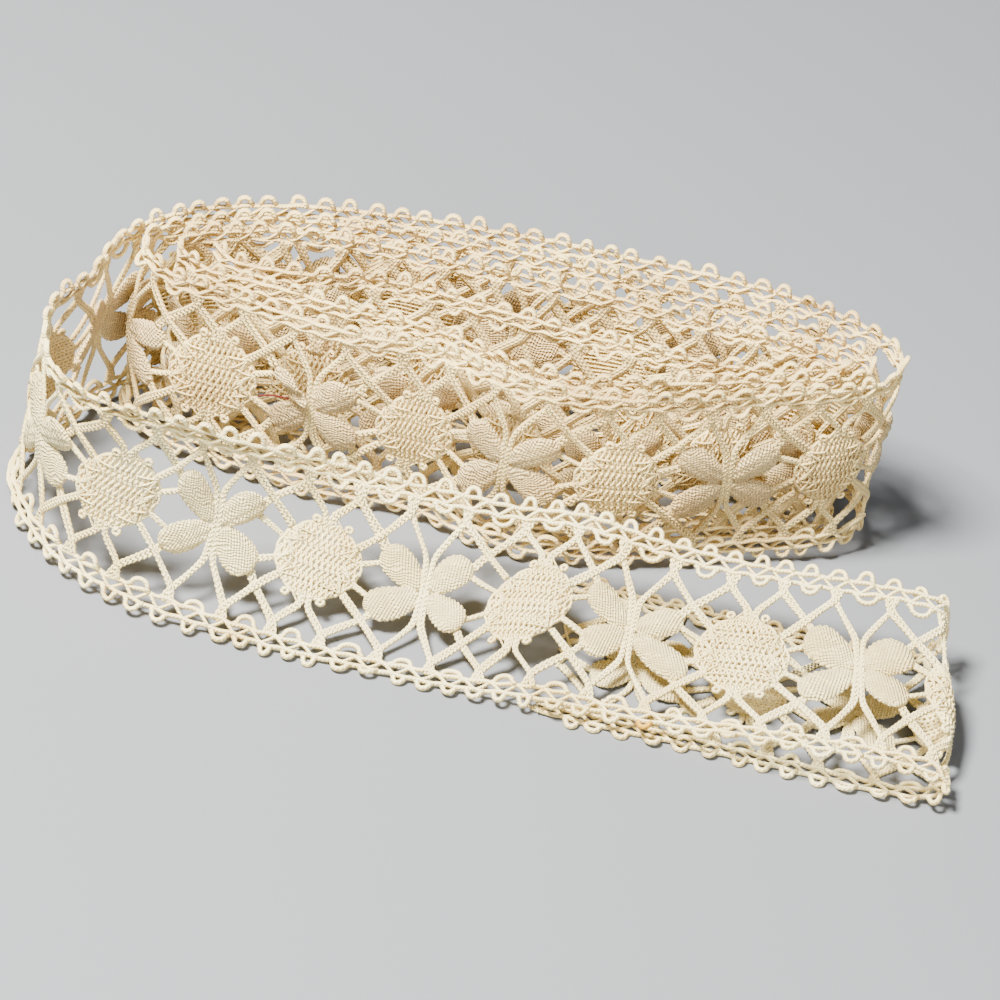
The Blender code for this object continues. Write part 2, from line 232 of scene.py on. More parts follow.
class Bundle:
    """Rings of points joined into closed skins, kept as whole arrays until the piece is made."""

    def __init__(self):
        self.points, self.quads, self.caps, self.places = [], [], [], []
        self.count = 0

    def add_rings(self, rings, run, turn):
        """rings: skins x rings x points round x 3, in mm. run, turn: UV of those points, ring closed."""
        skins, steps, sides, _ = rings.shape
        index = self.count + np.arange(skins * steps * sides).reshape(skins, steps, sides)
        around = np.roll(index, -1, axis=2)
        quads = np.stack([index[:, :-1], around[:, :-1], around[:, 1:], index[:, 1:]], axis=-1)
        self.points.append(rings.reshape(-1, 3))
        self.quads.append(quads.reshape(-1, 4))
        self.caps.extend([index[:, 0, ::-1], index[:, -1]])
        grid = (skins, steps, sides + 1)
        uv = np.stack([np.broadcast_to(run, grid), np.broadcast_to(turn, grid)], axis=-1)
        corners = np.stack([uv[:, :-1, :-1], uv[:, :-1, 1:], uv[:, 1:, 1:], uv[:, 1:, :-1]], axis=-2)
        self.places.append(corners.reshape(-1, 2))
        self.count += skins * steps * sides

    def add_threads(self, path, outward, radius, sides):
        """A circle of the given radius carried along each path; threads stay above the surface."""
        path = path.copy()
        path[..., 2] = np.maximum(path[..., 2], radius)
        forward = np.gradient(path, axis=1)
        forward /= np.linalg.norm(forward, axis=-1, keepdims=True) + 1e-9
        side = np.cross(forward, outward)
        side /= np.linalg.norm(side, axis=-1, keepdims=True) + 1e-9
        lift = np.cross(side, forward)
        angle = 2.0 * np.pi * (np.arange(sides) + 0.5) / sides
        ring = np.cos(angle)[:, None] * side[:, :, None] - np.sin(angle)[:, None] * lift[:, :, None]
        step = np.linalg.norm(np.diff(path, axis=1), axis=-1)
        run = np.concatenate([np.zeros((len(path), 1)), np.cumsum(step, axis=1)], axis=1)
        turn = (np.arange(sides + 1) + 0.5) / sides
        self.add_rings(path[:, :, None] + radius * ring, run[:, :, None] * MM, turn)

    def piece(self, name, material):
        """One mesh of all the skins, with its UV map: length along, and turn round or width across."""
        points = (np.vstack(self.points) - FOOTPRINT_CENTRE) * MM
        quads = np.vstack(self.quads)
        loops, starts, uv = [quads.ravel()], [np.arange(len(quads)) * 4], [np.vstack(self.places)]
        used = quads.size
        for cap in self.caps:
            loops.append(cap.ravel())
            starts.append(used + np.arange(len(cap)) * cap.shape[1])
            uv.append(np.zeros((cap.size, 2)))
            used += cap.size
        loops, starts, uv = np.concatenate(loops), np.concatenate(starts), np.vstack(uv)
        mesh = bpy.data.meshes.new(name)
        mesh.vertices.add(len(points))
        mesh.vertices.foreach_set("co", points.astype(np.float32).ravel())
        mesh.loops.add(len(loops))
        mesh.loops.foreach_set("vertex_index", loops.astype(np.int32))
        mesh.polygons.add(len(starts))
        mesh.polygons.foreach_set("loop_start", starts.astype(np.int32))
        mesh.update(calc_edges=True)
        mesh.uv_layers.new(name="along_thread").uv.foreach_set("vector", uv.astype(np.float32).ravel())
        # painted shade: threads further back, on the roll, take its deeper, warmer colours
        painted_roll_shade = np.clip((np.vstack(self.points)[:, 1] - ROLL_SHADE_FROM) / ROLL_SHADE_OVER, 0.0, 1.0)
        attribute = mesh.attributes.new("painted_roll_shade", "FLOAT", "POINT")
        attribute.data.foreach_set("value", painted_roll_shade.astype(np.float32))
        mesh.shade_smooth()
        mesh.materials.append(material)
        lace_piece = bpy.data.objects.new(name, mesh)
        bpy.context.scene.collection.objects.link(lace_piece)
        return lace_piece


# COTTON THREAD
# Soft-twisted cotton, washed and a little yellowed, unmercerised: matt, with a faint fuzz that catches
# light at grazing angles. The loose end is cream; the roll is painted a deeper, warmer cream as painted
# shade.

def linear(colour):
    """An sRGB hex colour as linear red, green, blue and alpha."""
    values = np.array([int(colour[i:i + 2], 16) for i in (1, 3, 5)]) / 255.0
    values = np.where(values <= 0.04045, values / 12.92, ((values + 0.055) / 1.055) ** 2.4)
    return (*values.tolist(), 1.0)


def add_node(material, kind, settings=None, **sockets):
    """Adds a node: settings are its attributes, sockets are values, or sockets to link from."""
    tree = material.node_tree
    node = tree.nodes.new(kind)
    for name, value in (settings or {}).items():
        setattr(node, name, value)
    for name, value in sockets.items():
        socket = node.inputs[int(name[1:])] if name[1:].isdigit() else node.inputs[name.replace("_", " ")]
        if isinstance(value, bpy.types.NodeSocket):
            tree.links.new(value, socket)
        else:
            socket.default_value = value
    return node


MULTIPLY = {"operation": "MULTIPLY"}
MULTIPLY_ADD = {"operation": "MULTIPLY_ADD"}
COSINE = {"operation": "COSINE"}
FIBRE_SPACING = 0.2             # mm, far coarser than real fibres, which are too fine to show
FIBRE_HEIGHT = 0.8              # of the fibres' roughness, as a share of the thread's relief
BUMP_STRENGTH = 0.8
YELLOWING = 18.0                # mm across one yellowed patch
YELLOWING_BEGINS, YELLOWING_FULL = 0.38, 0.70    # values of the noise that draws the patches
GROOVE_SHADE = -0.5              # painted shade: the grooves and the threads' sides take the deep colour and the crests the pale one


def cotton(name, loose, wound, relief, depth):
    """Cotton whose relief, from about -1 in the grooves to 1, comes from a function of its UV map.

    loose and wound are each a pale and a deep colour: of the loose end, and of the roll, which is painted
    deeper and warmer as painted shade. The deep colour is also painted shade where the relief is low, and
    the tone of yellowed patches. depth is the height in millimetres of the relief.
    """
    material = bpy.data.materials.new(name)
    material.use_nodes = True
    material.node_tree.nodes.clear()
    uv = add_node(material, "ShaderNodeUVMap", {"uv_map": "along_thread"})
    split = add_node(material, "ShaderNodeSeparateXYZ", _0=uv.outputs[0])
    pattern = relief(material, split.outputs[0], split.outputs[1])
    place = add_node(material, "ShaderNodeTexCoord")
    fibre = add_node(material, "ShaderNodeTexNoise", Vector=place.outputs["Object"],
                     Scale=1.0 / (FIBRE_SPACING * MM), Detail=2.0)
    height = add_node(material, "ShaderNodeMath", MULTIPLY_ADD, _0=fibre.outputs["Fac"],
                      _1=FIBRE_HEIGHT, _2=pattern)
    bump = add_node(material, "ShaderNodeBump", Height=height.outputs[0], Strength=BUMP_STRENGTH,
                    Distance=depth * MM)
    patch = add_node(material, "ShaderNodeTexNoise", Vector=place.outputs["Object"],
                     Scale=1.0 / (YELLOWING * MM), Detail=3.0, Roughness=0.6)
    spread = add_node(material, "ShaderNodeMapRange", Value=patch.outputs["Fac"],
                      _1=YELLOWING_BEGINS, _2=YELLOWING_FULL)
    # painted shade: low relief, in grooves and at the threads' sides, moves the colour to the deep one;
    # yellowed patches do too
    groove_shade_and_yellowing = add_node(material, "ShaderNodeMath", {**MULTIPLY_ADD, "use_clamp": True},
                        _0=pattern, _1=GROOVE_SHADE, _2=spread.outputs[0])
    # painted shade: the roll's threads are mixed towards its deeper, warmer colours
    painted_roll_shade = add_node(material, "ShaderNodeAttribute", {"attribute_name": "painted_roll_shade"})
    pale, deep = (add_node(material, "ShaderNodeMix", {"data_type": "RGBA"}, _0=painted_roll_shade.outputs["Fac"],
                           _6=linear(loose[i]), _7=linear(wound[i])) for i in (0, 1))
    colour = add_node(material, "ShaderNodeMix", {"data_type": "RGBA"}, _0=groove_shade_and_yellowing.outputs[0],
                      _6=pale.outputs[2], _7=deep.outputs[2])
    shader = add_node(material, "ShaderNodeBsdfPrincipled", Base_Color=colour.outputs[2], Roughness=0.85,
                      Specular_IOR_Level=0.25, Sheen_Weight=0.12, Sheen_Roughness=0.5,
                      Normal=bump.outputs[0])
    add_node(material, "ShaderNodeOutputMaterial", Surface=shader.outputs[0])
    return material


def waves(material, place, spacing, offset=0.0):
    """A cosine of a place in metres, with its crests the given millimetres apart."""
    angle = add_node(material, "ShaderNodeMath", MULTIPLY_ADD, _0=place,
                     _1=2.0 * np.pi / (spacing * MM), _2=offset)
    return add_node(material, "ShaderNodeMath", COSINE, _0=angle.outputs[0]).outputs[0]


PLY_SPACING = 0.8          # mm along a thread from one ply line to the next
CREST_SHARE = 0.7          # of a thread's relief, in its falling away at both sides, which is also painted shade there
PLY_SHARE = 0.4            # of a thread's relief, in its ply lines
PLAIT_RIDGES = 0.62        # mm between the strands side by side in the inner turns' flat plaits
PLAIT_STITCH = 1.15        # mm along such a plait from one crossing to the next
RIDGE_SHARE = 0.45         # of such a plait's relief, in its ridges
DIP_SHARE = 0.55           # of such a plait's relief, in its crossings
SEED_STITCH = 0.95         # mm between the seeds of a petal, drawn a little coarser than the thread
SEED_HEIGHT = 1.5
SEED_WANDER = 2.4          # mm that a seed may be off its place along the petal
SEED_WANDER_WIDE = 0.7     # of that, across the petal
SEED_WANDER_OVER = 3.2     # mm over which seeds wander the same way


def ply_lines(material, run, turn):
    """Ply lines wind round a thread that falls away at both its sides.

    A cosine of the length run plus the turn round, and a cosine of twice the turn.
    """
    winding = add_node(material, "ShaderNodeMath", MULTIPLY_ADD, _0=turn,
                       _1=2.0 * PLY_SPACING * MM, _2=run)
    double_turn = add_node(material, "ShaderNodeMath", MULTIPLY_ADD, _0=turn, _1=4.0 * np.pi, _2=np.pi)
    crest = add_node(material, "ShaderNodeMath", COSINE, _0=double_turn.outputs[0])
    ply = add_node(material, "ShaderNodeMath", MULTIPLY,
                   _0=waves(material, winding.outputs[0], PLY_SPACING), _1=PLY_SHARE)
    return add_node(material, "ShaderNodeMath", MULTIPLY_ADD, _0=crest.outputs[0], _1=CREST_SHARE,
                    _2=ply.outputs[0]).outputs[0]


def plait_strands(material, run, width):
    """Strands side by side, a cosine of the width, with dips at crossings: a product of two cosines."""
    crossings = add_node(material, "ShaderNodeMath", MULTIPLY, _0=waves(material, run, PLAIT_STITCH),
                         _1=waves(material, width, 2.0 * PLAIT_RIDGES))
    dips = add_node(material, "ShaderNodeMath", MULTIPLY, _0=crossings.outputs[0], _1=DIP_SHARE)
    return add_node(material, "ShaderNodeMath", MULTIPLY_ADD, _0=waves(material, width, PLAIT_RIDGES),
                    _1=RIDGE_SHARE, _2=dips.outputs[0]).outputs[0]


def seeds(material, run, width):
    """Weft packed over passives, in staggered seeds whose rows wander a little.

    A cosine of the length run times a sine of the place across, both moved by a slow noise.
    """
    place = add_node(material, "ShaderNodeTexCoord")
    wander = add_node(material, "ShaderNodeTexNoise", Vector=place.outputs["Object"],
                      Scale=1.0 / (SEED_WANDER_OVER * MM), Detail=1.0)
    moved_run, moved_width = (
        add_node(material, "ShaderNodeMath", MULTIPLY_ADD, _0=wander.outputs["Fac"],
                 _1=amount * MM, _2=value).outputs[0]
        for amount, value in ((SEED_WANDER, run), (SEED_WANDER_WIDE * SEED_WANDER, width)))
    crossed = add_node(material, "ShaderNodeMath", MULTIPLY,
                       _0=waves(material, moved_run, SEED_STITCH),
                       _1=waves(material, moved_width, SEED_STITCH, np.pi / 2.0))
    return add_node(material, "ShaderNodeMath", MULTIPLY, _0=crossed.outputs[0],
                    _1=SEED_HEIGHT).outputs[0]


# pale and deep colours of the loose end, and of the roll, painted deeper and warmer as painted shade
LOOSE_CREAM = ("#FFF1B8", "#E5CB82")
ROLL_CREAM_IN_SHADE = ("#FAE29E", "#D2B275")
LOOSE_PETAL = ("#FFF0B4", "#E2C883")
ROLL_PETAL_IN_SHADE = ("#F6DA9C", "#C7A46C")
# a thread of two plies: slanting ply lines that show close up, and sides that fall into shade
thread_cotton = cotton("twisted_cotton_thread", LOOSE_CREAM, ROLL_CREAM_IN_SHADE, ply_lines, 0.14)
# a flat plait: ridges side by side with a dip at each crossing
plaited_cotton = cotton("plaited_cotton", LOOSE_CREAM, ROLL_CREAM_IN_SHADE, plait_strands, 0.34)
# the petals' packed weft: a matt grain of staggered seeds, a little deeper in colour than thread
woven_cotton = cotton("woven_cotton", LOOSE_PETAL, ROLL_PETAL_IN_SHADE, seeds, 0.34)


# THE THREE STRETCHES
# The tape is drawn as three stretches, each of foot, ground, petals and spots. The two inner turns,
# which show least, are drawn with fewer steps and sides, and the other two are drawn fine.

# columns: name, start and end as lengths along the tape, whether it is drawn fine
STRETCHES = [
    ("inner_turns", 0.0, outer_turn_starts, False),
    ("outer_turn", outer_turn_starts, loose_end_starts, True),
    ("loose_end", loose_end_starts, tape_length, True),
]
made = {name: [] for name, *_ in STRETCHES}
CLEAR_OF_CUT = 0.3    # mm that threads keep from both ends of the tape


def belongs(name, piece):
    """A piece of a stretch rides the one body and stands, with its fellows, for the stretch's solid."""
    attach(piece, "root")
    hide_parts("loose_end" if name == "loose_end" else "roll")
    made[name].append(piece)


def flowers_between(start, end):
    """Numbers of the flowers whose repeat may reach between two lengths along the tape."""
    return numbers[(flower_places > start - REPEAT) & (flower_places < end + REPEAT)].astype(float)


def kept(number, offset, start, end):
    """Which runs of the pattern have their middle in this stretch and stay on the tape."""
    place = place_of(number, offset)
    inside = (place.mean(axis=1) >= start) & (place.mean(axis=1) < end)
    on_tape = (place.min(axis=1) > CLEAR_OF_CUT) & (place.max(axis=1) < tape_length - CLEAR_OF_CUT)
    return inside & on_tape


def add_pattern(bundle, stretch, number, offset, across, out, radius, sides):
    """Adds runs of thread, given in pattern places, that lie in one stretch of the tape."""
    _, start, end, _ = stretch
    number, across, out = (np.broadcast_to(value, offset.shape) for value in (number, across, out))
    keep = kept(number, offset, start, end)
    path, outward = lay_pattern(number[keep], offset[keep], across[keep], out[keep])
    bundle.add_threads(path, outward, radius, sides)


# FOOT
# Along each edge run two smooth cords with a thread that zigzags between them. A picot loop stands
# outside the outer cord every 5.7 mm, and a low arch inside the inner one at every second picot.

CORDS_AT = (19.3, 21.7)
CORD_RADIUS = 0.50
ZIGZAG_RADIUS = 0.42
LOOP_RADIUS = 0.55
# half width, middle across the tape, height, and where across its feet stand
PICOT = (1.2, 22.5, 1.3, 21.6)
ARCH = (1.75, 18.7, -1.35, 19.3)
# how far loops differ: mm along the tape, share of their width, mm across, mm outwards
LOOP_SHIFT, LOOP_BROADER, LOOP_TALLER, LOOP_RISE = 0.32, 0.09, 0.30, 0.45
STAINED_PICOT_X = 47.6    # as the course's x
STAIN = ("#E3B13A", "#C08A22")


def cord_lines(start, end, step):
    """Two cords along each edge, slightly wavy, as sines of the length along the tape."""
    along = np.arange(start, end, step)
    picots = along * 2.0 * np.pi * PICOTS_PER_REPEAT / REPEAT
    for edge in (-1, 1):
        for at, wave in zip(CORDS_AT, (0.20, 0.14)):
            across = edge * (at + wave * np.sin(picots + at) + 0.12 * np.sin(along / 4.3 + at * edge))
            yield along, across, 0.12 * np.sin(picots * 0.5 + at)


def zigzag_lines(start, end, step):
    """A thread that swings from one cord to the other and back once in every picot's length."""
    along = np.arange(start, end, step)
    middle_line, reach = np.mean(CORDS_AT), (CORDS_AT[1] - CORDS_AT[0]) / 2.0
    picots = along * 2.0 * np.pi * PICOTS_PER_REPEAT / REPEAT
    for edge in (-1, 1):
        swing = 2.0 / np.pi * np.arcsin(0.98 * np.sin(picots + edge))
        yield along, edge * (middle_line + reach * swing), 0.35 * np.cos(picots + edge)


def bent_round(half_width, across, height, feet, points):
    """A loop of thread: half an ellipse, with splayed ends that run in under a cord."""
    angle = np.radians(np.linspace(0.0, 180.0, points - 2))
    arc = np.stack([half_width * np.cos(angle), across + height * np.sin(angle),
                    0.25 * np.cos(angle)], axis=1)
    end = np.array([[half_width * 1.5, feet, -0.15]])
    return np.vstack([end, arc, end * (-1.0, 1.0, 1.0)])


stained_place = where_x(STAINED_PICOT_X, loose_end_starts + 100.0, tape_length - 100.0)
stained = Bundle()
for stretch in STRETCHES:
    name, start, end, fine = stretch
    foot = Bundle()
    lines_of_thread = (
        (cord_lines, CORD_RADIUS, 6 if fine else 5, 0.55 if fine else 0.9),
        (zigzag_lines, ZIGZAG_RADIUS, 5 if fine else 4, 0.5 if fine else 0.8),
    )
    for lines, radius, sides, step in lines_of_thread:
        along, across, out = (np.array(column) for column in zip(*lines(start, end, step)))
        path, outward = laid(along, across, out)
        foot.add_threads(path, outward, radius, sides)
    flowers = flowers_between(start, end)
    points = 13 if fine else 8
    for loop, per_repeat in ((PICOT, PICOTS_PER_REPEAT), (ARCH, PICOTS_PER_REPEAT // 2)):
        line = bent_round(*loop, points)
        for edge in (-1, 1):
            number = (flowers[:, None] + np.arange(per_repeat) / per_repeat).ravel()[:, None]
            shift = LOOP_SHIFT * hand.standard_normal(number.shape)
            broader = 1.0 + LOOP_BROADER * hand.standard_normal(number.shape)
            taller = LOOP_TALLER * hand.uniform(-1.0, 0.6, number.shape)
            rise = LOOP_RISE * hand.standard_normal(number.shape)
            from_stain = np.abs(place_of(number, shift)[:, 0] - stained_place)
            picked = (from_stain == from_stain.min()) & (edge < 0)
            picked = picked & (name == "loose_end") & (loop == PICOT)
            beyond = np.abs(line[:, 1] - line[0, 1]) / np.ptp(line[:, 1])
            offset = line[:, 0] * broader + shift
            across = edge * (line[:, 1] + taller * beyond)
            out = line[:, 2] + rise * beyond
            for chosen, bundle in ((~picked, foot), (picked, stained)):
                add_pattern(bundle, stretch, number[chosen], offset[chosen], across[chosen], out[chosen],
                            LOOP_RADIUS, 6 if fine else 5)
    belongs(name, foot.piece(f"{name}_foot", thread_cotton))

stained_cotton = cotton("tea_stained_cotton_thread", STAIN, STAIN, ply_lines, 0.10)
stained_picot = stained.piece("stained_picot", stained_cotton)
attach(stained_picot, "root")


# GROUND
# Between the feet run flat plaits of four strands, about 1.6 to 2.1 mm wide. They merge where they
# reach the foot, carry each flower by a doubled stem, and hold each spot by its rim. In the inner
# turns they are flat bands, a little broader, that carry their strands in the cotton's relief.

STRAND_RADIUS = 0.36
STRAND_CROSSING = 1.1          # mm from one crossing at the middle of a plait to the next
STRAND_WEAVE = 0.26            # mm that a strand swings outwards to pass over another
BAND_HALF_THICKNESS = 0.46
BAND_BROADER = 1.15
PLAIT_UNEVEN = 0.08            # how far whole plaits differ in width
PLAIT_SWELL = 0.10             # how far each swells and narrows along its run
# columns: width, then corners as offset, across and out
PLAITS = [
    (1.95, [(16.4, 5.6, 0.1), (11.3, 10.4, 0.30), (5.6, 16.3, 0.2), (4.8, 19.4, -0.1)]),
    (2.1, [(9.3, 6.9, 0.1), (11.2, 10.0, -0.10), (17.1, 16.3, 0.1), (18.0, 19.4, -0.1)]),
    (1.6, [(0.55, -0.3, 0.65), (0.6, 3.0, 0.75), (0.8, 7.8, 0.1), (5.6, 16.2, -0.1), (6.5, 19.4, 0.1)]),
    (1.85, [(SPOT_AT - 0.8, 8.4, 0.3), (SPOT_AT - 0.6, 11.0, 0.1), (17.2, 16.3, -0.1), (16.1, 19.4, 0.1)]),
    (1.55, [(9.6, 5.0, 0.1), (15.6, 2.3, 0.0)]),
]


def through(corners, step, rounding=1.3):
    """Even steps along the runs between corners, each the mean of five places up to 1.3 mm away."""
    corners = np.array(corners)
    length = np.concatenate([[0.0], np.cumsum(np.linalg.norm(np.diff(corners, axis=0), axis=1))])
    run = np.linspace(0.0, length[-1], max(4, round(length[-1] / step) + 1))
    reach = np.minimum(rounding, np.minimum(run, length[-1] - run))
    near = run[:, None] + reach[:, None] * np.linspace(-1.0, 1.0, 5)
    return run, *(np.interp(near, length, column).mean(axis=1) for column in corners.T)


def mirrored(offset, across, count):
    """The four mirrors of one line along and across the tape, for each of count flowers."""
    signs = np.array([(1, 1), (-1, 1), (1, -1), (-1, -1)])
    return np.tile(signs[:, :1] * offset, (count, 1)), np.tile(signs[:, 1:] * across, (count, 1))


def plait_paths(stretch, number, offset, across, out):
    """The middle lines of the plaits in one stretch, their outward normals and their sideways ones."""
    _, start, end, _ = stretch
    keep = kept(number, offset, start, end)
    out = np.broadcast_to(out, offset.shape)
    path, outward = lay_pattern(number[keep], offset[keep], across[keep], out[keep])
    side = np.cross(np.gradient(path, axis=1), outward)
    side /= np.linalg.norm(side, axis=-1, keepdims=True) + 1e-9
    return keep, path, outward, side


def add_strands(bundle, path, outward, side, half_width, first):
    """Four strands plaited flat, a right angle apart in phase.

    Each swings sideways by the sine of its phase and outwards by the cosine of three times it, so
    that strands cross at the middle of the plait and half way to each side, over and under in turn.
    """
    steps = first + np.arange(path.shape[1])
    for strand in range(4):
        phase = (np.pi / 4.0 * steps + np.pi / 2.0 * strand)[..., None]
        swing = (half_width - STRAND_RADIUS)[..., None] * np.sin(phase) * side
        weave = STRAND_WEAVE * np.cos(3.0 * phase) * outward
        bundle.add_threads(path + swing + weave, outward, STRAND_RADIUS, 4)


def add_bands(bundle, path, outward, side, half_width, run, sides):
    """Flat bands: an ellipse of the half width and half thickness carried along each path."""
    path = path.copy()
    path[..., 2] = np.maximum(path[..., 2], BAND_HALF_THICKNESS)
    angle = -2.0 * np.pi * (np.arange(sides) + 0.5) / sides
    reach = half_width[:, :, None, None]
    rings = (path[:, :, None] + reach * np.cos(angle)[:, None] * side[:, :, None]
             + BAND_HALF_THICKNESS * np.sin(angle)[:, None] * outward[:, :, None])
    width = reach[..., 0] * np.cos(np.append(angle, angle[0]))
    bundle.add_rings(rings, run[:, None] * MM, width * MM)


for stretch in STRETCHES:
    name, start, end, fine = stretch
    flowers = flowers_between(start, end)
    number = np.repeat(flowers, 4)[:, None]
    ground = Bundle()
    for width, corners in PLAITS:
        run, offset, across, out = through(corners, STRAND_CROSSING / 2.0 if fine else 0.9)
        offset, across = mirrored(offset, across, len(flowers))
        keep, path, outward, side = plait_paths(stretch, number, offset, across, out)
        size = 1.0 + PLAIT_UNEVEN * hand.standard_normal((len(path), 1))
        slow = PLAIT_SWELL * np.sin(run / 2.1 + hand.uniform(0.0, 6.3, (len(path), 1)))
        half_width = width / 2.0 * size * (1.0 + slow)
        if fine:
            add_strands(ground, path, outward, side, half_width, hand.integers(0, 8, (len(path), 1)))
        else:
            add_bands(ground, path, outward, side, BAND_BROADER * half_width, run, 6)
    belongs(name, ground.piece(f"{name}_ground", thread_cotton if fine else plaited_cotton))


# PETALS
# Each flower has four wheat-ear petals, woven back and forth over passive threads until they stand
# thick as a leaf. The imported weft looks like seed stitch, and its turns notch the petal's sides.

PETAL_ROOT = (0.9, 0.7)
PETAL_TIP = (10.6, 7.6)
PETAL_HALF_WIDTH = 3.9
PETAL_WIDEST_AT = 0.64
PETAL_ROOT_SHARE = 0.42
PETAL_RISE = 1.35
ABOVE_FLOOR = 0.05    # mm that a ring of a petal on the floor is lifted clear of it
PETAL_RIBS = 4
PETAL_TURNS = 9
RIB_HEIGHT = 0.15
ROW_HEIGHT = 0.09
# how far petals differ: share of their length and width, degrees, mm of curl
PETAL_LONGER, PETAL_WIDER, PETAL_SWING, PETAL_CURL = 0.06, 0.08, 5.5, 0.5
FOLDED_PETAL = (0, (-1, 1))    # flower and mirror of the one petal that has folded lengthwise
FOLDED_SWING = 12.0            # degrees
FOLDED_NARROWER = 0.35


def petal_rings(number, mirror, steps, sides):
    """Leaf-shaped rings about a line from root to tip.

    Half the width grows by a quarter sine from nearly half at the root to the widest place, then falls
    by a blunt superellipse to the tip. The top swells as a half ellipse with ribs, a cosine of the
    place across, and rows, a sine of the place along. Each petal has its own size, swing and curl.
    """
    count = len(number)
    vary = [hand.standard_normal((count, 1, 1)) for _ in range(5)]
    folded = ((number == FOLDED_PETAL[0]) & (mirror == FOLDED_PETAL[1]))[:, None, None]
    t = (0.5 - 0.5 * np.cos(np.pi * np.linspace(0.015, 0.985, steps)))[None, :, None]
    angle = (2.0 * np.pi * np.arange(sides) / sides)[None, None, :]
    root, tip = np.array(PETAL_ROOT), np.array(PETAL_TIP)
    length = np.hypot(*(tip - root)) * (0.98 + PETAL_LONGER * vary[0])
    slant = (np.arctan2(*(tip - root)[::-1]) + np.radians(PETAL_SWING) * vary[1]
             + np.radians(FOLDED_SWING) * folded)
    growing = PETAL_ROOT_SHARE + (1.0 - PETAL_ROOT_SHARE) * np.sin(np.pi / 2.0 * t / PETAL_WIDEST_AT)
    growing *= np.sqrt(np.clip(t / 0.06, 0.0, 1.0))
    beyond = np.clip((t - PETAL_WIDEST_AT) / (1.0 - PETAL_WIDEST_AT), 0.0, 1.0)
    falling = np.sqrt(1.0 - beyond**2.3)
    outline = np.where(t < PETAL_WIDEST_AT, growing, falling)
    half = PETAL_HALF_WIDTH * (1.0 + PETAL_WIDER * vary[2]) * outline
    half = half * (1.0 - FOLDED_NARROWER * folded)
    notch = 1.0 + 0.05 * np.sin(2.0 * np.pi * PETAL_TURNS * t)
    sideways = np.cos(angle) * half * notch
    rib = np.cos(2.0 * np.pi * PETAL_RIBS * sideways / (2.0 * PETAL_HALF_WIDTH))
    stitch = np.sin(2.0 * np.pi * PETAL_TURNS * t) * np.cos(np.pi * sideways / 0.8)
    top = np.sin(angle) > 0.0
    rise = np.where(top, PETAL_RISE, 0.4 * PETAL_RISE) * np.sin(angle) * (half / PETAL_HALF_WIDTH) ** 0.6
    relief = (RIB_HEIGHT * rib + ROW_HEIGHT * stitch) * np.clip(np.sin(angle) * 2.0, 0.0, 1.0)
    curl = PETAL_CURL * vary[3] * sideways / PETAL_HALF_WIDTH * t + PETAL_CURL * vary[4] * t**2
    curl = curl + folded * (1.6 + 0.55 * np.sin(11.0 * t + sideways) + 0.4 * sideways)
    offset = mirror[0] * (root[0] + np.cos(slant) * length * t - np.sin(slant) * sideways)
    across = mirror[1] * (root[1] + np.sin(slant) * length * t + np.cos(slant) * sideways)
    out = 0.3 + rise + relief + curl
    run = np.broadcast_to(length * t, out.shape)
    if mirror[0] * mirror[1] < 0:
        offset, across, out, sideways = (value[..., ::-1] for value in (offset, across, out, sideways))
    return np.broadcast_to(number[:, None, None], out.shape), offset, across, out, run, sideways


for stretch in STRETCHES:
    name, start, end, fine = stretch
    petals = Bundle()
    flowers = flowers_between(start, end)
    steps, sides = (38, 28) if fine else (20, 12)
    for mirror in ((1, 1), (-1, 1), (1, -1), (-1, -1)):
        number, offset, across, out, run, width = petal_rings(flowers, mirror, steps, sides)
        flat = (len(offset), -1)
        keep = kept(number.reshape(flat), offset.reshape(flat), start, end)
        rings, _ = lay_pattern(number[keep], offset[keep], across[keep], out[keep])
        lowest = rings[..., 2].min(axis=2, keepdims=True)
        rings[..., 2] += np.maximum(ABOVE_FLOOR - lowest, 0.0)
        closed = np.concatenate([width[keep], width[keep][..., :1]], axis=2)
        petals.add_rings(rings, run[keep][..., :1] * MM, closed * MM)
    belongs(name, petals.piece(f"{name}_petals", woven_cotton))


# SPOTS
# An oval of half stitch: passives slant across each other both ways, over and under level rows of
# thread. A rim thread gathers it, plaits fan into its sides, and four small loops stand on it.

SPOT_HALF_LENGTH = 8.1
SPOT_HALF_WIDTH = 9.0
ROW_SPACING = 1.12
PASSIVE_SPACING = 1.08
PASSIVE_SLANT = 0.34
SPOT_DOME = 0.8
SPOT_LOOP_RADIUS = 0.62    # of the ring that a loop's thread runs round
SPOT_UNEVEN = 0.04         # how far whole spots differ in size
SPOT_LEAN = 0.06           # and how far they lean along the tape
# radii of the threads
LEVEL_RADIUS = 0.38
PASSIVE_RADIUS = 0.34
RIM_RADIUS = 0.40
SPOT_LOOP_THREAD = 0.44
FAN_RADIUS = 0.25


def spot_rows(step):
    """Level rows across the oval, each with a slight sag."""
    for row, across in enumerate(np.arange(-7.5, 7.6) * ROW_SPACING):
        half = SPOT_HALF_LENGTH * np.sqrt(max(1.0 - (across / SPOT_HALF_WIDTH) ** 2, 0.02)) * 0.98
        x = np.linspace(-half, half, max(4, int(2.0 * half / step)))
        yield x, across + 0.12 * np.sin(x / 2.3 + row), -0.12 + 0.0 * x


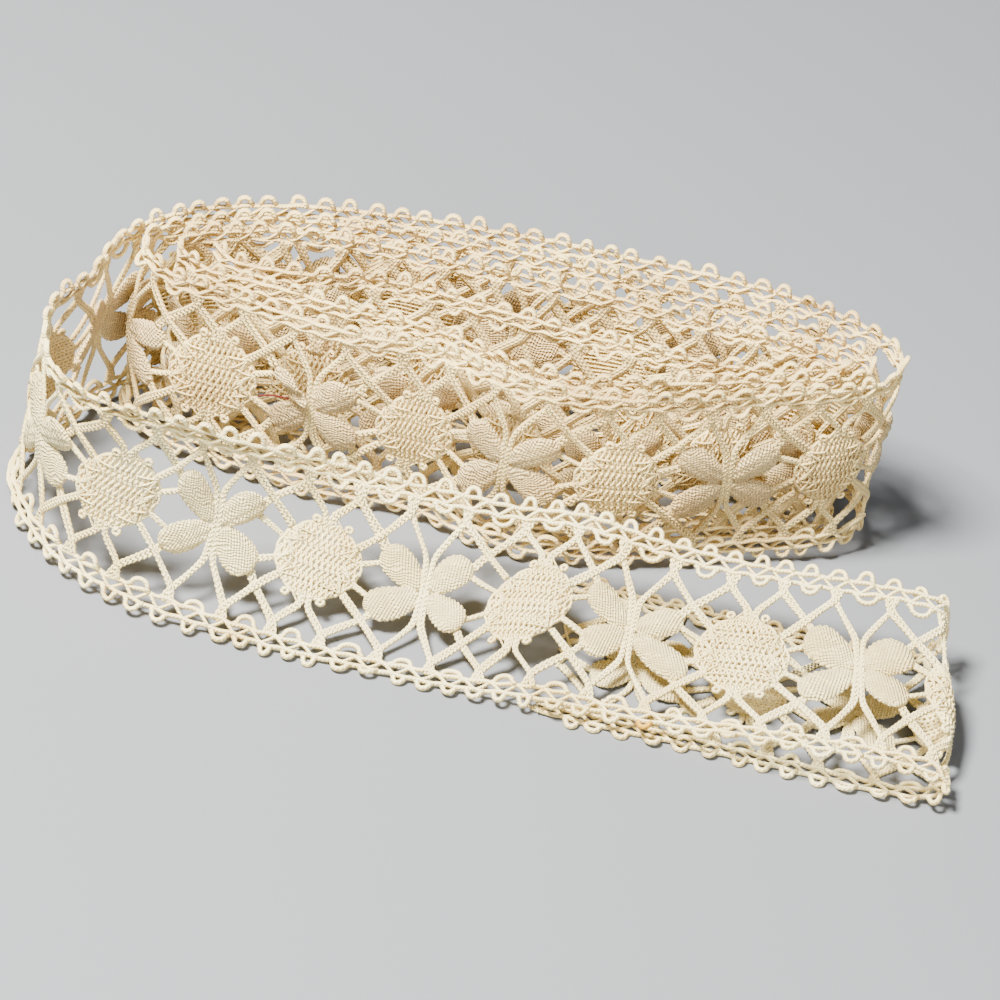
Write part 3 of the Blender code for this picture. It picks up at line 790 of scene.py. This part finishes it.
def spot_passives(step):
    """Passives slanting both ways, over and under the rows.

    Each is a line cut where it meets the oval, at the two roots of a quadratic in the place across.
    """
    for side in (-1.0, 1.0):
        for start in (np.arange(-9.0, 9.1) + 0.25 * side) * PASSIVE_SPACING:
            squared = PASSIVE_SLANT**2 / SPOT_HALF_LENGTH**2 + 1.0 / SPOT_HALF_WIDTH**2
            single = 2.0 * start * PASSIVE_SLANT * side / SPOT_HALF_LENGTH**2
            plain = start**2 / SPOT_HALF_LENGTH**2 - 0.96
            under_root = single * single - 4.0 * squared * plain
            if under_root < 0.004:
                continue
            ends = (-single + np.array([-1.0, 1.0]) * np.sqrt(under_root)) / (2.0 * squared)
            y = np.linspace(ends[0], ends[1], max(4, int((ends[1] - ends[0]) / step)))
            x = start + side * PASSIVE_SLANT * y + 0.08 * np.sin(y / 1.7 + start)
            yield x, y, 0.12 + 0.30 * np.cos(np.pi * y / ROW_SPACING + np.pi / 2.0 * side)


def spot_rim(points):
    """The edge thread, bowed out between its pinholes."""
    angle = np.radians(np.linspace(0.0, 364.0, points))
    bow = 1.0 + 0.022 * np.sin(15.0 * angle) + 0.02 * np.sin(4.0 * angle + 1.0)
    yield (SPOT_HALF_LENGTH * bow * np.cos(angle), SPOT_HALF_WIDTH * bow * np.sin(angle),
           0.2 * np.sin(9.0 * angle))


def spot_loops(points):
    """Small round loops that stand on the rim, two above and two below."""
    angle = np.radians(np.linspace(-70.0, 275.0, points))
    for x, lean in ((-3.4, 0.3), (3.6, -0.2)):
        for side in (-1.0, 1.0):
            yield (x + lean * side + SPOT_LOOP_RADIUS * np.cos(angle),
                   side * (9.2 + SPOT_LOOP_RADIUS * np.sin(angle)), 0.3 + 0.15 * np.cos(angle))


# the end of a plait, then where its threads spread to, as offset and across from the spot's middle
FANS = [
    ((6.4, 5.7), ((3.2, 3.0), (4.8, 1.6), (2.2, 5.4), (5.0, 3.2))),
    ((7.3, 2.3), ((4.4, -1.6), (5.2, 0.6), (4.2, 3.2), (4.8, -0.4))),
]


def spot_fans():
    """Threads that spread from the ends of the plaits into the oval."""
    t = np.linspace(0.0, 1.0, 7)
    for side in (-1.0, 1.0):
        for target in (-3.2, -1.2, 1.2, 3.2):
            yield target * t, side * (11.2 - 3.6 * t), 0.3 * np.sin(np.pi * t)
        for end in (-1.0, 1.0):
            for root, targets in FANS:
                for target in targets:
                    yield (end * (root[0] + (target[0] - root[0]) * t),
                           side * (root[1] + (target[1] - root[1]) * t), 0.35 + 0.3 * np.sin(np.pi * t))


for stretch in STRETCHES:
    name, start, end, fine = stretch
    spots = Bundle()
    number = flowers_between(start, end)[:, None] + 0.5
    size = 1.0 + SPOT_UNEVEN * hand.standard_normal(number.shape)
    lean = SPOT_LEAN * hand.standard_normal(number.shape)
    threads = ([(line, LEVEL_RADIUS) for line in spot_rows(0.9 if fine else 1.6)]
               + [(line, PASSIVE_RADIUS) for line in spot_passives(0.5 if fine else 1.2)]
               + [(line, RIM_RADIUS) for line in spot_rim(46 if fine else 26)]
               + [(line, SPOT_LOOP_THREAD) for line in spot_loops(11 if fine else 7)]
               + [(line, FAN_RADIUS) for line in spot_fans()])
    for (x, across, out), radius in threads:
        from_middle = (x / SPOT_HALF_LENGTH) ** 2 + (across / SPOT_HALF_WIDTH) ** 2
        dome = SPOT_DOME * np.clip(1.0 - from_middle, 0.0, 1.0)
        add_pattern(spots, stretch, number, x * size + lean * across, across * size, out + dome, radius,
                    5 if fine else 4)
    belongs(name, spots.piece(f"{name}_spots", thread_cotton))


# FRAYED CUT AND STRAY THREADS
# The tape was snipped across: the ends of the cords stand out past the cut, coming untwisted. A short
# end of red sewing thread has caught in front of the folded petal on the front of the roll.

SNIPPED_ENDS_AT = (CORDS_AT[0], 20.5, CORDS_AT[1])
SNIPPED_RADIUS = 0.2
CAUGHT_RADIUS = 0.24
RED = ("#64170D", "#45100A")

snipped = Bundle()
t = np.linspace(0.0, 1.0, 8)
for at in (*(-across for across in SNIPPED_ENDS_AT[::-1]), *SNIPPED_ENDS_AT):
    ahead = on_course(np.array([tape_length - 0.01]), at) - on_course(np.array([tape_length - 1.01]), at)
    ahead = ahead / np.linalg.norm(ahead)
    for strand in range(3):
        reach, bend, rise = hand.uniform(1.0, 3.5), hand.normal(0.0, 0.9), abs(hand.normal(0.0, 0.4))
        root, outward = laid(np.full((1, 8), tape_length), at + 0.3 * (strand - 1) + 0.0 * t, 0.0 * t)
        path = root + ahead * reach * t[:, None] + np.stack([0.0 * t, bend * t**2, rise * t**2], axis=1)
        snipped.add_threads(path, outward, SNIPPED_RADIUS, 4)
snipped_ends = snipped.piece("snipped_ends", thread_cotton)
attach(snipped_ends, "root")

caught = Bundle()
t = np.linspace(0.0, 1.0, 24)
path, outward = lay_pattern(np.full((1, 24), float(FOLDED_PETAL[0])), -12.2 + 7.2 * t,
                            -0.6 + 2.0 * t + 1.0 * np.sin(np.pi * t), 2.0 + 0.7 * np.sin(np.pi * t))
caught.add_threads(path, outward, CAUGHT_RADIUS, 5)
caught_thread = caught.piece("caught_red_thread", cotton("red_sewing_cotton", RED, RED, ply_lines, 0.05))
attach(caught_thread, "root")


# THE PIECES OF EACH STRETCH
# The foot, ground, petals and spots of each stretch are gathered here, and nothing more is done with
# them. The share of its rectangle stated as its area is set by how it is drawn: four strands with a
# skin each come to more than one flat band. The plaits cover about a quarter of the tape's rectangle,
# and four strands with a skin each come to more surface than one flat band.

for name, start, end, fine in STRETCHES:
    foot, ground, petals, spots = made[name]


# FLOOR, LIGHT AND CAMERA
# A pale matt floor, a soft light high at the left and a weaker, broader one from the front right, as
# in a light tent. The camera looks down at 39 degrees, turned 12 degrees about its line of sight.

FLOOR_HALF = 2.0    # m
floor_mesh = bpy.data.meshes.new("floor")
floor_mesh.from_pydata([(x * FLOOR_HALF, y * FLOOR_HALF, 0.0)
                        for x, y in ((-1, -1), (1, -1), (1, 1), (-1, 1))], [], [(0, 1, 2, 3)])
floor = bpy.data.objects.new("floor", floor_mesh)
bpy.context.scene.collection.objects.link(floor)
paper = bpy.data.materials.new("matt_backdrop_paper")
paper.use_nodes = True
paper.node_tree.nodes["Principled BSDF"].inputs["Base Color"].default_value = linear("#787C83")
paper.node_tree.nodes["Principled BSDF"].inputs["Roughness"].default_value = 0.9
floor_mesh.materials.append(paper)


def soft_light(name, place, target, size, power, colour):
    """A round area light: places in metres, the diameter in metres, the power in watts."""
    light = bpy.data.lights.new(name, "AREA")
    light.shape = "DISK"
    light.size = size
    light.energy = power
    light.color = linear(colour)[:3]
    lamp = bpy.data.objects.new(name, light)
    lamp.location = place
    lamp.rotation_euler = (Vector(target) - Vector(place)).to_track_quat("-Z", "Y").to_euler()
    bpy.context.scene.collection.objects.link(lamp)


soft_light("overhead", (-0.35, -0.25, 0.85), (0.0, 0.0, 0.0), 0.25, 55.0, "#FFFAF0")
soft_light("front_fill", (0.45, -0.85, 0.45), (0.0, 0.0, 0.02), 0.6, 6.0, "#FFFFFF")
world = bpy.data.worlds.new("light_tent")
world.use_nodes = True
world.node_tree.nodes["Background"].inputs["Color"].default_value = linear("#F4F2EE")
world.node_tree.nodes["Background"].inputs["Strength"].default_value = 0.16
bpy.context.scene.world = world

CAMERA_PITCH = 38.7        # degrees
CAMERA_ROLL = 12.3         # degrees
CAMERA_DISTANCE = 0.982    # m
AIM = Vector((0.0004, 0.0190, 0.0))
camera_data = bpy.data.cameras.new("camera")
camera_data.lens = 162.0
camera_data.sensor_width = 36.0
camera = bpy.data.objects.new("camera", camera_data)
bpy.context.scene.collection.objects.link(camera)
pitch = np.radians(CAMERA_PITCH)
camera.matrix_world = (
    Matrix.Translation(AIM + CAMERA_DISTANCE * Vector((0.0, -np.cos(pitch), np.sin(pitch))))
    @ Matrix.Rotation(np.pi / 2.0 - pitch, 4, "X") @ Matrix.Rotation(np.radians(CAMERA_ROLL), 4, "Z"))
bpy.context.scene.camera = camera
